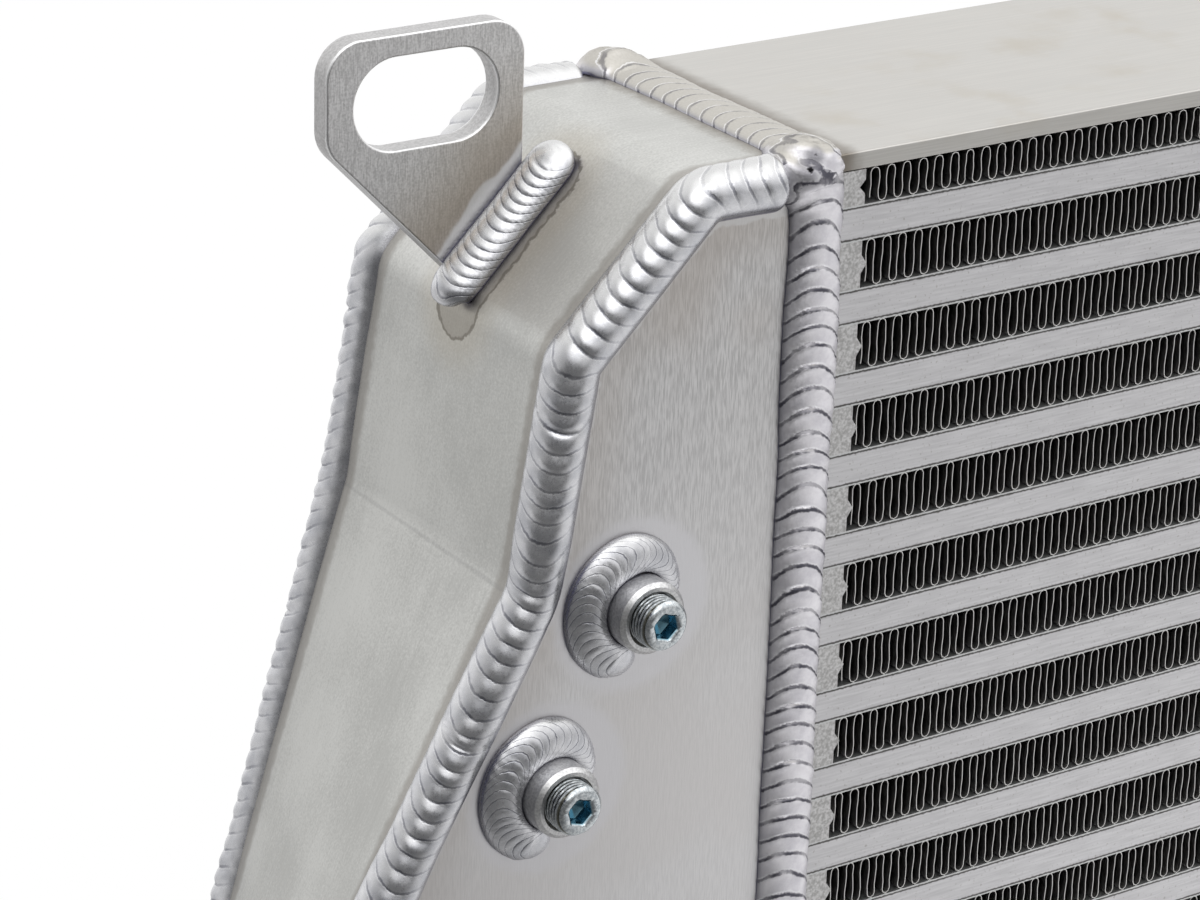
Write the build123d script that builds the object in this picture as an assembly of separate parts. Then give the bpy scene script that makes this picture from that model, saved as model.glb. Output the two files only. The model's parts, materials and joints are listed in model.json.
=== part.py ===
"""Bar-and-plate intercooler with folded, welded end tanks. Millimetres.

X runs along the core from tank to tank, the front faces -Y, and Z is up.
The origin is the middle of the core's underside.
"""
import os
from math import hypot

from build123d import *

# Core: bars, parting sheets and fins, stacked from the bottom plate to the top plate
core_length = 610.0
core_depth = 70.0
side_plate = 3.2            # top and bottom plates
parting_sheet = 0.5         # brazed between every two rows
charge_rows = 15            # rows that carry the engine's air
charge_bar_height = 6.35
charge_bar_width = 8.0      # front to back
air_row_height = 9.65       # rows that the cooling air blows through
edge_row_height = 7.1       # the first and last air rows are lower
end_bar_width = 10.0        # closes an air row at each end
end_bar_nub = 1.3           # ridge or groove along the end bar's inner side
fin_gauge = 0.5
air_fin_pitch = 24.0        # between two legs, drawn coarse: the real ones stand 1.9 apart
charge_fin_pitch = 9.0
fin_setback = 0.8           # front edges of the fins lie behind the bars

# Tank: a folded strip between two flat plates, as seen from the front.
# Runs are measured outwards from the core's end, drops downwards from its top.
tank_sheet = 3.2
shoulder_run = 29.1         # end of the flat top
brow_run, brow_drop = 58.6, 29.5
waist_run, waist_drop = 66.0, 75.2
flare_run_front = 123.3     # the lower part reaches further out at the front
flare_run_rear = 95.0
flare_drop = 178.0
shoulder_radius = 10.0
brow_radius = 9.0
waist_radius = 14.0
flare_radius = 16.0
foot_radius = 10.0

# Weld beads
bead_sides = 10             # facets round a bead
seam_radius = 5.4           # corner seam between a plate and the folded strip
seam_inset = 3.3            # its centre, in from the strip's outer surface
seam_depth = 0.6            # and behind the plate's outer surface
core_seam_half_width = 7.0
core_seam_crown = 3.0
core_seam_run = 1.0         # its middle, out from the core's end

# Hose neck, square to the tank's lower panel
neck_diameter = 54.0
neck_wall = 2.5
neck_length = 55.0
neck_height = 48.0          # centre above the base
neck_root_step = 1.0        # thicker root under the weld
neck_root_length = 9.0
neck_weld_leg = 3.2

# Mounting tab with its slot
tab_thickness = 5.0
tab_front = 5.0             # Y of the tab's front side
tab_outer_run = 85.3
tab_inner_run = 42.0
tab_rise = 23.2             # top edge above the core's top
tab_ear_rise = 2.6          # where the outer edge turns inwards
tab_foot_run = 56.2         # its lowest point, on the sloping brow
tab_corner_radius = 7.5
slot_length = 31.5
slot_width = 18.2
slot_run = 63.6
slot_rise = 9.8
tab_weld_radius = 5.8
tab_weld_lift = 0.8
tab_weld_start_run = 37.5
tab_weld_tail = 6.0

# Sensor ports on the left tank's front plate, closed by socket plugs
port_places = ((40.8, 83.3), (59.0, 117.8))
port_bore = 10.3
bung_diameter = 14.7
bung_height = 8.0
bung_chamfer = 0.8
bung_mouth = 0.6
plug_length = 11.2
plug_proud = 4.2
plug_chamfer = 0.85
hex_across = 4.76
hex_depth = 4.0
port_weld_leg = 6.2
port_weld_height = 3.6

charge_tube_height = charge_bar_height + 2 * parting_sheet
edge_stack = side_plate + parting_sheet + edge_row_height
core_height = (2 * edge_stack + charge_rows * charge_tube_height
               + (charge_rows - 1) * air_row_height)
front_y = -core_depth / 2
rear_y = core_depth / 2


def block(x0, x1, y0, y1, z0, z1):
    """A plain box between two corners."""
    return Pos(x0, y0, z0) * Box(x1 - x0, y1 - y0, z1 - z0, align=(Align.MIN,) * 3)


def plane_at(y):
    """Plane parallel to the front, with X to the right and Z up."""
    return Plane.XZ.offset(-y)


def corrugation(length, height, pitch):
    """Zigzag outline of a folded fin, from x = 0, its folds touching z = 0 and the height."""
    legs = max(2, round(length / pitch))
    step = length / legs
    slope = hypot(step, height) / step
    rise = fin_gauge * slope
    lower = [(i * step, (height - rise) * (i % 2)) for i in range(legs + 1)]
    upper = [(x, z + rise) for x, z in lower]
    return make_face(Polyline(*lower, *reversed(upper), close=True))


def air_fin(z, height):
    """Fin of one cooling row, its channels running front to back."""
    length = core_length - 2 * (end_bar_width + end_bar_nub)
    wave = plane_at(rear_y - fin_setback) * corrugation(length, height, air_fin_pitch)
    return Pos(-length / 2, 0, z) * extrude(wave, core_depth - 2 * fin_setback)


def charge_fin(z):
    """Turbulator inside one charge row, its channels running along the core."""
    width = core_depth - 2 * charge_bar_width
    wave = Plane.YZ * corrugation(width, charge_bar_height, charge_fin_pitch)
    return Pos(-core_length / 2, -width / 2, z) * extrude(wave, core_length)


def charge_tube(z):
    """Two parting sheets held apart by a front and a rear bar."""
    x0, x1 = -core_length / 2, core_length / 2
    bar_z = z + parting_sheet
    top_z = bar_z + charge_bar_height
    return [
        block(x0, x1, front_y, rear_y, z, bar_z),
        block(x0, x1, front_y, front_y + charge_bar_width, bar_z, top_z),
        block(x0, x1, rear_y - charge_bar_width, rear_y, bar_z, top_z),
        block(x0, x1, front_y, rear_y, top_z, top_z + parting_sheet),
    ]


def end_bar(z, height, nub):
    """Bar that closes an air row, with a ridge (or groove) along its inner side."""
    inner = end_bar_width
    outline = Polyline((0, 0), (inner, 0), (inner, 0.3 * height), (inner + nub, 0.5 * height),
                       (inner, 0.7 * height), (inner, height), (0, height), close=True)
    bar = extrude(plane_at(rear_y) * make_face(outline), core_depth)
    return Pos(-core_length / 2, 0, z) * bar


def air_rows():
    """Bottom z and height of each cooling row, from the base up."""
    rows = [(side_plate + parting_sheet, edge_row_height)]
    z = edge_stack + charge_tube_height
    for _ in range(charge_rows - 1):
        rows.append((z, air_row_height))
        z += air_row_height + charge_tube_height
    return rows + [(z, edge_row_height)]


def strip_corners(y, inset=0.0, start=0.0):
    """Corners (run, z) of the tank's outline on the plane at y, moved inwards by inset."""
    share = (y - front_y) / core_depth
    flare_run = flare_run_front + (flare_run_rear - flare_run_front) * share
    corners = [
        (start, core_height),
        (shoulder_run, core_height),
        (brow_run, core_height - brow_drop),
        (waist_run, core_height - waist_drop),
        (flare_run, core_height - flare_drop),
        (flare_run, 0),
        (start, 0),
    ]
    normals = []
    for (run0, z0), (run1, z1) in zip(corners, corners[1:]):
        length = hypot(run1 - run0, z1 - z0)
        normals.append(((z1 - z0) / length, (run0 - run1) / length))
    moved = []
    for i, (run, z) in enumerate(corners):
        n0, n1 = normals[max(i - 1, 0)], normals[min(i, len(normals) - 1)]
        scale = inset / (1 + n0[0] * n1[0] + n0[1] * n1[1])
        moved.append((run + scale * (n0[0] + n1[0]), z + scale * (n0[1] + n1[1])))
    return moved


def strip_line(y, inset=0.0, start=0.0, least=0.5):
    """The tank's outline as a line with rounded folds, from the core's top to its base."""
    folds = [shoulder_radius - inset, brow_radius - inset, waist_radius + inset,
             flare_radius - inset, foot_radius - inset]
    folds = [max(radius, least) for radius in folds]
    return FilletPolyline(*strip_corners(y, inset, start), radius=folds)


def tank_section(y, inset=0.0):
    """Face inside the tank's outline, closed along the core's end."""
    line = strip_line(y, inset)
    return plane_at(y) * make_face(line + Line(line @ 1, line @ 0))


def strip_section(y):
    """Section of the folded strip alone."""
    outer, inner = strip_line(y), strip_line(y, tank_sheet)
    ends = Line(outer @ 0, inner @ 0) + Line(outer @ 1, inner @ 1)
    return plane_at(y) * make_face(outer + inner + ends)


def neck_plane():
    """On the lower panel's outer surface, square to it."""
    flare_middle = (flare_run_front + flare_run_rear) / 2
    lean = (flare_run_front - flare_run_rear) / core_depth
    return Plane(origin=(flare_middle, 0, neck_height), z_dir=(1, lean, 0), x_dir=(0, 0, 1))


def tank_body():
    """The space that the folded strip wraps, solid through."""
    sections = [tank_section(y) for y in (front_y + tank_sheet, rear_y - tank_sheet)]
    return loft(sections, ruled=True)


def tank_wrap():
    """Folded strip, with the hole under the hose neck."""
    sections = [strip_section(y) for y in (front_y + tank_sheet, rear_y - tank_sheet)]
    bore = neck_diameter / 2 - neck_wall
    hole = neck_plane() * Cylinder(bore, 6 * tank_sheet)
    return loft(sections, ruled=True) - hole


def tank_plate(side, holes=()):
    """Flat front (side -1) or rear (side 1) plate."""
    inner_y = side * (core_depth / 2 - tank_sheet)
    plate = extrude(tank_section(inner_y, tank_sheet), -side * tank_sheet)
    for run, drop in holes:
        place = Pos(run, inner_y, core_height - drop) * Rot(90, 0, 0)
        plate -= place * Cylinder(port_bore / 2, 4 * tank_sheet)
    return plate


def low_bead(rise):
    """Flat-bottomed bead section across the core's joint, its crown at the rise."""
    middle, half = core_seam_run, core_seam_half_width
    crown = [(middle - half, 0), (middle - 0.55 * half, 0.72 * rise), (middle, rise),
             (middle + 0.55 * half, 0.72 * rise), (middle + half, 0)]
    return make_face(Polyline(*crown, close=True))


def core_seam():
    """Low bead round the front, top and rear of the joint with the core."""
    section = plane_at(rear_y) * Pos(0, core_height) * low_bead(core_seam_crown)
    seam = extrude(section, core_depth)
    for side in (-1, 1):
        y = side * core_depth / 2
        corner = plane_at(y) * Pos(0, core_height) * low_bead(core_seam_crown)
        seam += revolve(corner, Axis((0, y, core_height), (-side, 0, 0)), 90)
        seam += extrude(Pos(0, y) * low_bead(side * core_seam_crown), core_height)
    return seam


def bead_along(path, radius):
    """Round bead along a path, its ends drawn in."""
    bead = sweep(Plane(origin=path @ 0, z_dir=path % 0) * bead_section(radius), path=path)
    for end, outward in ((0, -1), (1, 1)):
        wide = Plane(origin=path @ end, z_dir=(path % end) * outward)
        sections = [wide * bead_section(radius), wide.offset(0.6 * radius) * bead_section(0.75 * radius)]
        bead += loft(sections, ruled=True)
    return bead


def bead_section(radius):
    """Section of a bead, as wide as its circle."""
    return RegularPolygon(radius, bead_sides, major_radius=True, rotation=180 / bead_sides)


def corner_seam(side, body, plate, ring):
    """Bead that fills and caps the open corner between a plate and the strip."""
    y = side * (core_depth / 2 - seam_depth)
    start = core_seam_run + core_seam_half_width
    path = plane_at(y) * strip_line(y, seam_inset, start, least=1.05 * seam_radius)
    bead = bead_along(path, seam_radius)
    y0, y1 = sorted((side * core_depth / 2, side * (core_depth / 2 - tank_sheet)))
    for z in (core_height - tank_sheet, 0):
        bead += block(0, start, y0, y1, z, z + tank_sheet)
    underside = block(0, 2 * flare_run_front, 2 * front_y, 2 * rear_y, -2 * seam_radius, 0)
    return bead - body - plate - ring - underside


def tank_neck():
    """Turned hose neck with a thicker root."""
    outer, bore = neck_diameter / 2, neck_diameter / 2 - neck_wall
    root = outer + neck_root_step
    outline = Polyline((bore, 0), (root, 0), (root, neck_root_length - neck_root_step),
                       (outer, neck_root_length), (outer, neck_length), (bore, neck_length),
                       close=True)
    return neck_plane() * revolve(Plane.XZ * make_face(outline), Axis.Z)


def ring_weld(radius, leg, height):
    """Bead laid round a boss that stands on a plate."""
    outline = Polyline((radius, 0), (radius, height), (radius + 0.72 * leg, 0.72 * height),
                       (radius + leg, 0), close=True)
    return revolve(Plane.XZ * make_face(outline), Axis.Z)


def brow_z(run):
    """Height of the sloping brow at a distance from the core's end."""
    return core_height - brow_drop * (run - shoulder_run) / (brow_run - shoulder_run)


def tank_tab():
    """Slotted tab that stands on the brow."""
    top, ear = core_height + tab_rise, core_height + tab_ear_rise
    corners = [
        (tab_inner_run, brow_z(tab_inner_run)),
        (tab_inner_run, top),
        (tab_outer_run, top),
        (tab_outer_run, ear),
        (tab_foot_run, brow_z(tab_foot_run)),
    ]
    rounded = [tab_corner_radius, tab_corner_radius, tab_corner_radius]
    edge = FilletPolyline(*corners, radius=rounded)
    slot = Pos(slot_run, core_height + slot_rise) * SlotOverall(slot_length, slot_width)
    face = make_face(edge + Line(corners[-1], corners[0])) - slot
    return extrude(plane_at(tab_front) * face, -tab_thickness)


def tab_welds(body, tab):
    """A round bead along the tab's foot, in front of and behind it."""
    beads = []
    for y in (tab_front - 1, tab_front + tab_thickness + 1):
        corners = strip_corners(y, -tab_weld_lift)
        brow, waist = corners[2], corners[3]
        lean = (brow[1] - corners[1][1]) / (brow[0] - corners[1][0])
        start = (tab_weld_start_run, brow[1] + lean * (tab_weld_start_run - brow[0]))
        reach = tab_weld_tail / hypot(waist[0] - brow[0], waist[1] - brow[1])
        tail = (brow[0] + reach * (waist[0] - brow[0]), brow[1] + reach * (waist[1] - brow[1]))
        path = plane_at(y) * FilletPolyline(start, brow, tail, radius=brow_radius + tab_weld_lift)
        beads.append(bead_along(path, tab_weld_radius) - body - tab)
    middle = tab_front + tab_thickness / 2
    reach, top = 2 * tab_outer_run, 2 * core_height
    front_half = block(0, reach, middle - core_depth, middle, 0, top)
    rear_half = block(0, reach, middle, middle + core_depth, 0, top)
    return [beads[0] & front_half, beads[1] & rear_half]


def port_place(run, drop):
    """On the front plate's outer surface, facing out."""
    return Pos(run, front_y, core_height - drop) * Rot(90, 0, 0)


def port_bung():
    """Threaded boss, standing along Z."""
    half, bore = bung_diameter / 2, port_bore / 2
    outline = Polyline((bore, 0), (half, 0), (half, bung_height - bung_chamfer),
                       (half - bung_chamfer, bung_height), (bore + bung_mouth, bung_height),
                       (bore, bung_height - bung_mouth), close=True)
    return revolve(Plane.XZ * make_face(outline), Axis.Z)


def port_plug():
    """Headless plug with a hexagon socket."""
    top, half = bung_height + plug_proud, port_bore / 2
    outline = Polyline((0, top - plug_length), (half, top - plug_length), (half, top - plug_chamfer),
                       (half - plug_chamfer, top), (0, top), close=True)
    plug = revolve(Plane.XZ * make_face(outline), Axis.Z)
    hexagon = RegularPolygon(hex_across / 2, 6, major_radius=False)
    return plug - Pos(0, 0, top - hex_depth) * extrude(hexagon, 2 * hex_depth)


def on_side(side, part):
    """Put a tank piece, drawn outwards from x = 0, on the left or the right of the core."""
    if side == "left":
        part = mirror(part, Plane.YZ)
    return Pos((-1 if side == "left" else 1) * core_length / 2, 0, 0) * part


def save(name, solids):
    """Write one node of one or several solids."""
    solids = [solid for part in solids for solid in part.solids()]
    shape = solids[0] if len(solids) == 1 else Compound(children=solids)
    export_step(shape, f"parts/{name}.step")


def build_core():
    """The stack of rows between the two side plates."""
    x0, x1 = -core_length / 2, core_length / 2
    top = core_height - side_plate
    save("core_bottom_plate", [
        block(x0, x1, front_y, rear_y, 0, side_plate),
        block(x0, x1, front_y, rear_y, side_plate, side_plate + parting_sheet)])
    save("core_top_plate", [
        block(x0, x1, front_y, rear_y, top - parting_sheet, top),
        block(x0, x1, front_y, rear_y, top, core_height)])

    left_bars, right_bars, turbulators = [], [], []
    rows = air_rows()
    for i, (z, height) in enumerate(rows):
        edge_row = i in (0, len(rows) - 1)
        bar = end_bar(z, height, -end_bar_nub if edge_row else end_bar_nub)
        left_bars.append(bar)
        right_bars.append(mirror(bar, Plane.YZ))
        save(f"air_fin_{i + 1:02d}", [air_fin(z, height)])
        if i < charge_rows:
            save(f"charge_tube_{i + 1:02d}", charge_tube(z + height))
            turbulators.append(charge_fin(z + height + parting_sheet))
    save("left_end_bars", left_bars)
    save("right_end_bars", right_bars)
    save("charge_fins", turbulators)


def tank_pieces():
    """The pieces that both end tanks have."""
    body, ring, tab = tank_body(), core_seam(), tank_tab()
    front, rear, neck = tank_plate(-1), tank_plate(1), tank_neck()
    front_seam = corner_seam(-1, body, front, ring) - neck
    rear_seam = corner_seam(1, body, rear, ring) - neck
    neck_outer = neck_diameter / 2 + neck_root_step
    neck_weld = neck_plane() * ring_weld(neck_outer, neck_weld_leg, neck_weld_leg)
    return {
        "front_plate": [front],
        "rear_plate": [rear],
        "wrap": [tank_wrap()],
        "neck": [neck],
        "tab": [tab],
        "front_seam_weld": [front_seam],
        "rear_seam_weld": [rear_seam],
        "core_seam_weld": [ring],
        "neck_weld": [neck_weld - front_seam - rear_seam],
        "tab_welds": tab_welds(body, tab),
    }


def port_pieces():
    """The front plate with its sensor ports, and what stands on it."""
    places = [port_place(*port) for port in port_places]
    weld = ring_weld(bung_diameter / 2, port_weld_leg, port_weld_height)
    return {
        "front_plate": [tank_plate(-1, port_places)],
        "port_bungs": [place * port_bung() for place in places],
        "port_plugs": [place * port_plug() for place in places],
        "port_welds": [place * weld for place in places],
    }


def build_tanks():
    """Two mirrored end tanks; the left one has the sensor ports."""
    shared = tank_pieces()
    for side, pieces in (("left", shared | port_pieces()), ("right", shared)):
        for name, solids in pieces.items():
            save(f"{side}_{name}", [on_side(side, solid) for solid in solids])


os.makedirs("parts", exist_ok=True)
build_core()
build_tanks()
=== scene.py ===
# Bar-and-plate intercooler: weld beads, fins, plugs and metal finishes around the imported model.
import json
import math
from functools import partial
import bmesh
import bpy
import numpy as np
from mathutils import Matrix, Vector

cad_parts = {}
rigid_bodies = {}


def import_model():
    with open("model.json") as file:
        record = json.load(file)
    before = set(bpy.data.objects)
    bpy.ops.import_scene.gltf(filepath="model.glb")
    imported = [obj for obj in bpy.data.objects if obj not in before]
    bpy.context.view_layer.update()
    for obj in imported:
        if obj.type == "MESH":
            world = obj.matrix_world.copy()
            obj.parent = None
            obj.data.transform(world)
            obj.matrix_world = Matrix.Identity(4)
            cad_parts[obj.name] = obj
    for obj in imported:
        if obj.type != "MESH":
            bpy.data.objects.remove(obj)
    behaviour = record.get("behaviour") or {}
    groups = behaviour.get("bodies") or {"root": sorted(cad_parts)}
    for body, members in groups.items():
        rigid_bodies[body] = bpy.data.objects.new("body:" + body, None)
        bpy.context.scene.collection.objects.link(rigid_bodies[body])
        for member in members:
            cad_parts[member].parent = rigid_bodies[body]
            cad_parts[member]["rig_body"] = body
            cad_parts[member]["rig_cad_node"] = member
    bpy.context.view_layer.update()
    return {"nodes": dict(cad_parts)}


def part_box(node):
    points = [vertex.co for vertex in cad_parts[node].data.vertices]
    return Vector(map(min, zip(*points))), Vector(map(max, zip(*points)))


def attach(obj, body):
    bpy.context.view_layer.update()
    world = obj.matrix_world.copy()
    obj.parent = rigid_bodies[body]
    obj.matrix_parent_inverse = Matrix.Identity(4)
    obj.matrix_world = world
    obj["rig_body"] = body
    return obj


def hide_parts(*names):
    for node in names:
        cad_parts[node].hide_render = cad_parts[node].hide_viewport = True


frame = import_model()
nodes = frame["nodes"]
mm = 0.001
coreEnd, halfDepth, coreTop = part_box("core_top_plate")[1]    # the core's right, rear and upper limits
print("frame loaded:", len(nodes), "pieces")

# Tank outline as part of the frame: runs go out from the core's end, drops go down from its top
tank = {
    "corners": [(0, 0), (29.1, 0), (58.6, 29.5), (66, 75.2)],
    "flareRuns": (123.3, 95),    # lower part, at the front and at the rear
    "flareDrop": 178,
    "folds": [10, 9, 14, 16, 10],    # bend radii from the top to the foot
}
sides = ((-1, "left"), (1, "right"))
faces = ((-1, "front"), (1, "rear"))
upright, towardsView, alongCore = np.array([0, 0, 1.0]), np.array([0, -1.0, 0]), np.array([1.0, 0, 0])


# Shapes


def unit(vectors):
    # vectors divided by their lengths
    return vectors / np.linalg.norm(vectors, axis=-1, keepdims=True)


def outlineCorners(y, inset=0.0):
    # corners of the folded strip at depth y, each moved inwards along the mean of its two edges' normals
    front, rear = tank["flareRuns"]
    flare = front + (rear - front) * (y + halfDepth) / (2 * halfDepth)
    foot = coreTop / mm
    points = np.array(tank["corners"] + [(flare, tank["flareDrop"]), (flare, foot), (0, foot)]) * mm
    edges = unit(np.diff(points, axis=0))
    normals = np.stack([edges[:, 1], -edges[:, 0]], 1)
    first, second = np.vstack([normals[:1], normals]), np.vstack([normals, normals[-1:]])
    share = inset / (1 + (first * second).sum(1, keepdims=True))
    return points - share * (first + second)


def roundedLine(points, radii, step):
    # straight runs joined by circular arcs (each a weighted blend of its two ends and the corner),
    # then points spaced evenly along the length
    line = [points[:1]]
    t = np.linspace(0, 1, 25)[:, None]
    for before, corner, after, radius in zip(points, points[1:], points[2:], radii):
        arriving, leaving = unit(corner - before), unit(after - corner)
        turn = math.acos(float(np.clip(arriving @ leaving, -1, 1)))
        reach = radius * math.tan(turn / 2)
        weights = np.hstack([(1 - t) ** 2, 2 * t * (1 - t) * math.cos(turn / 2), t ** 2])
        ends = np.stack([corner - reach * arriving, corner, corner + reach * leaving])
        line.append(weights @ ends / weights.sum(1, keepdims=True))
    return spaced(np.vstack(line + [points[-1:]]), step)


def spaced(line, step):
    # the same line with points at even distances
    distance = np.append(0, np.cumsum(np.linalg.norm(np.diff(line, axis=0), axis=1)))
    keep = np.append(True, np.diff(distance) > 1e-9)
    count = max(2, round(distance[-1] / step) + 1)
    wanted = np.linspace(0, distance[-1], count)
    return np.stack([np.interp(wanted, distance[keep], column[keep]) for column in line.T], 1)


def inPlace(side, y, line):
    # a line of (run, drop) as points in space on the left (-1) or right (1) tank
    return np.stack([side * (coreEnd + line[:, 0]), np.full(len(line), y), coreTop - line[:, 1]], 1)


def gridPiece(name, points, material, around=True, looped=False, smooth=True, values=None):
    # skin over a grid of points; `around` joins the last column to the first, `looped` the last row to the
    # first, and an open tube is closed by a face at each end
    rows, columns = points.shape[:2]
    index = np.arange(rows * columns).reshape(rows, columns)
    wide = np.hstack([index, index[:, :1]]) if around else index
    tall = np.vstack([wide, wide[:1]]) if looped else wide
    quads = np.stack([tall[:-1, :-1], tall[1:, :-1], tall[1:, 1:], tall[:-1, 1:]], -1).reshape(-1, 4)
    flat = points.reshape(-1, 3)
    a, b, c, d = (flat[quads[:, i]] - flat.mean(0) for i in range(4))
    volume = (np.cross(a, b) * c).sum() + (np.cross(a, c) * d).sum()
    faces = quads.tolist() + ([] if looped else [index[0].tolist(), index[-1, ::-1].tolist()])
    if volume < 0:
        faces = [face[::-1] for face in faces]
    mesh = bpy.data.meshes.new(name)
    mesh.from_pydata(flat.tolist(), [], faces)
    mesh.polygons.foreach_set("use_smooth", np.full(len(faces), smooth))
    for key, data in (values or {}).items():
        mesh.attributes.new(key, "FLOAT", "POINT").data.foreach_set("value", data.astype(np.float32).ravel())
    mesh.update()
    piece = bpy.data.objects.new(name, mesh)
    bpy.context.scene.collection.objects.link(piece)
    mesh.materials.append(material)
    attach(piece, "root")
    return piece


def joinPieces(name, pieces):
    # several pieces of one finish as one
    with bpy.context.temp_override(active_object=pieces[0], selected_editable_objects=pieces):
        bpy.ops.object.join()
    pieces[0].name = name
    return pieces[0]


def smoothNoise(positions, seed):
    # wandering values in -1..1: random numbers at whole positions, eased between
    values = np.random.default_rng(seed).uniform(-1, 1, 4096)
    low = np.floor(positions).astype(int)
    t = positions - low
    t = t * t * (3 - 2 * t)
    return values[low % 4096] * (1 - t) + values[(low + 1) % 4096] * t


def beadPoints(path, crown, size, ripple, seed, looped=False, toes=(95, 95), calm=1.0, stops=(), lumps=()):
    # A bead is an oval section carried along a path. Its surface rises by a ripple whose phase is
    # (s + lag * (1 - sqrt(1 - 0.85 sin(a)^2))) / pitch, with s the distance along and a the angle from the
    # crown, so that each ripple is a crescent; inside one ripple the height is sin(pi * t ** skew).
    step = np.linalg.norm(np.diff(path, axis=0), axis=1).mean()
    s = (np.arange(len(path)) * step)[:, None]
    if looped:
        tangent = unit(np.roll(path, -1, 0) - np.roll(path, 1, 0))
    else:
        tangent = unit(np.gradient(path, axis=0))
    crown = unit(crown - (crown * tangent).sum(1, keepdims=True) * tangent)
    lateral = np.cross(tangent, crown)
    angle = np.linspace(-np.pi, np.pi, ripple["round"], endpoint=False)[None, :]
    pitch = ripple["pitch"]
    wander = ripple["jitter"] * pitch * smoothNoise(s / (2.2 * pitch), seed)
    lag = ripple["lag"] * (1 + 0.25 * smoothNoise(s / (5 * pitch), seed + 1))
    bow = 1 - np.sign(np.cos(angle)) * np.sqrt(1 - 0.85 * np.sin(angle) ** 2)
    bowed = s + wander + lag * bow + ripple.get("tilt", 0) * np.sin(angle)
    bulges = 0
    for place, height, width in lumps:    # where several beads run into each other
        swirl = smoothNoise(s / (0.55 * mm) + np.cos(3 * angle), seed + 4) * np.cos(3.5 * angle + 1)
        swirl = swirl + smoothNoise(s / (1.3 * mm) + 2.1 * angle, seed + 5)
        bulges = bulges + height * swirl * np.exp(-((s - place) / width) ** 2)
    bowed = bowed + 2 * bulges
    count = np.floor(bowed / pitch).astype(int)
    t = bowed / pitch - count
    strength = 1 + ripple["uneven"] * np.random.default_rng(seed + 2).uniform(-1, 1, 4096)[count % 4096]
    shape = np.sin(np.pi * t ** ripple["skew"]) ** ripple["power"]
    facing = np.clip(1.5 * np.cos(angle) + 0.1, 0, 1)
    begun = np.clip((bowed - ripple.get("blob", 0)) / pitch, 0, 1)    # the last puddle stays smooth
    rise = ripple["height"] * strength * shape * facing * calm * begun
    for place, depth, width in stops:    # where the welder stopped and started again
        rise = rise - depth * facing * np.exp(-((bowed - place) / width) ** 2)
    rise = rise + bulges * facing
    if "crater" in ripple:    # shallow ring left by the last puddle
        place, reach, depth, width = ripple["crater"]
        ring = np.hypot(s - place, size[0] * np.sin(angle)) - reach
        rise = rise - depth * facing * np.exp(-(ring / width) ** 2)
    swell = 1 + ripple["swell"] * smoothNoise(s / (3.5 * pitch), seed + 3)
    half, high, low = (np.broadcast_to(value, len(path))[:, None] for value in size)
    if not looped:
        near = np.minimum(s, s[-1] - s) / ripple["ending"]
        swell = swell * np.sqrt(np.clip(1 - (1 - np.clip(near, 0, 1)) ** 2, 0.0004, 1))
    across = (half * swell + 0.4 * rise) * np.sin(angle)
    above = (np.where(np.cos(angle) > 0, high, low) * swell + rise) * np.cos(angle)
    points = path[:, None] + across[..., None] * lateral[:, None] + above[..., None] * crown[:, None]
    toe = np.abs(np.degrees(angle)) / np.where(angle > 0, toes[1], toes[0]) + 0 * s
    line = begun * np.clip(1.4 * np.cos(angle) + ripple.get("spread", 0.7), 0, 1) + 0 * s
    if looped:
        line[:1] = line[-1:] = 0
    return points, {"toe": toe, "phase": bowed / pitch, "line": line}


# Finishes

eased = {"interpolation_type": "SMOOTHSTEP"}
tint = {"data_type": "RGBA", "output": 2}
plus, minus, times, timesPlus, absolute, fraction = (
    {"operation": kind} for kind in ("ADD", "SUBTRACT", "MULTIPLY", "MULTIPLY_ADD", "ABSOLUTE", "FRACT"))
dotted, apart = ({"operation": kind, "output": "Value"} for kind in ("DOT_PRODUCT", "DISTANCE"))


def shade(hexColour):
    # an sRGB hex colour as linear RGBA
    parts = np.array([int(hexColour[i:i + 2], 16) for i in (1, 3, 5)]) / 255
    linear = np.where(parts <= 0.04045, parts / 12.92, ((parts + 0.055) / 1.055) ** 2.4)
    return (*linear.tolist(), 1.0)


def connect(node, inputs):
    # each input is a value, a hex colour or the output that feeds it
    for key, value in inputs.items():
        if isinstance(value, bpy.types.NodeSocket):
            node.id_data.links.new(value, node.inputs[key])
        else:
            node.inputs[key].default_value = shade(value) if isinstance(value, str) else value


def addNode(tree, kind, inputs=(), output=0, **settings):
    # one node with its settings and links; a list feeds the first inputs in order
    node = tree.nodes.new("ShaderNode" + kind)
    for key, value in settings.items():
        setattr(node, key, value)
    connect(node, inputs if isinstance(inputs, dict) else dict(enumerate(inputs)))
    return node.outputs[output] if node.outputs else node


def newFinish(name):
    # a metal, the function that adds its nodes, its shader and its object coordinates
    material = bpy.data.materials.new(name)
    material.use_nodes = True
    shader = material.node_tree.nodes["Principled BSDF"]
    connect(shader, {"Metallic": 1.0})
    add = partial(addNode, material.node_tree)
    return material, add, shader, add("TexCoord", output="Object")


def coated(add, base, layers):
    # colours laid over a base in turn, each by a share or by the ramp (input, from, to, ...) that gives it
    for share, colour in layers:
        if isinstance(share, list):
            share = add("MapRange", share, **eased)
        base = add("Mix", {0: share, 6: base, 7: colour}, **tint)
    return base


def surfaced(add, shader, base, rough, heights, depth):
    # a metal's colour and roughness, and its relief of this depth in mm
    bump = add("Bump", {"Height": heights, "Distance": depth * mm})
    connect(shader, {"Base Color": base, "Roughness": rough, "Normal": bump})


def perMm(*sizes):
    # pattern scale for grains of these sizes in mm
    return [1 / (size * mm) for size in sizes]


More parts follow.
